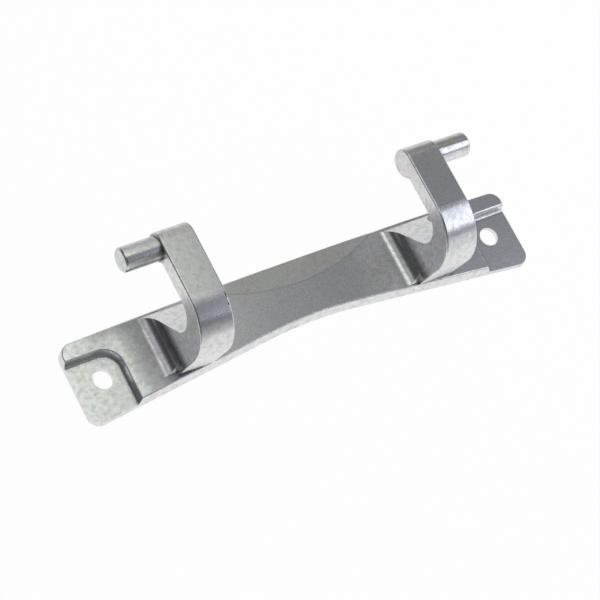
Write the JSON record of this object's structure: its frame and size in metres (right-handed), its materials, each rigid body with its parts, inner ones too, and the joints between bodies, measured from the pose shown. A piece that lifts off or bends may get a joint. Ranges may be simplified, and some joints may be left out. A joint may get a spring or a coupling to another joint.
{
  "type": "washing machine door hinge",
  "caption": "One-piece cast door hinge: a long plate with recessed screw seats, a hollow front edge and hooked, gusseted arms that end in outward pivot pins.",
  "frame": {"origin": "midpoint between the two screw holes, on the mounting face", "axes": "+X along the plate from hole to hole, +Y from the row of holes towards the pins, +Z out of the mounting face towards the arms"},
  "size_m": [0.17, 0.0428, 0.0349],
  "materials": {
    "cast_alloy": "as cast, matt grey with a fine speckle"
  },
  "bodies": {
    "root": {"door_hinge": "cast_alloy"}
  },
  "joints": []
}
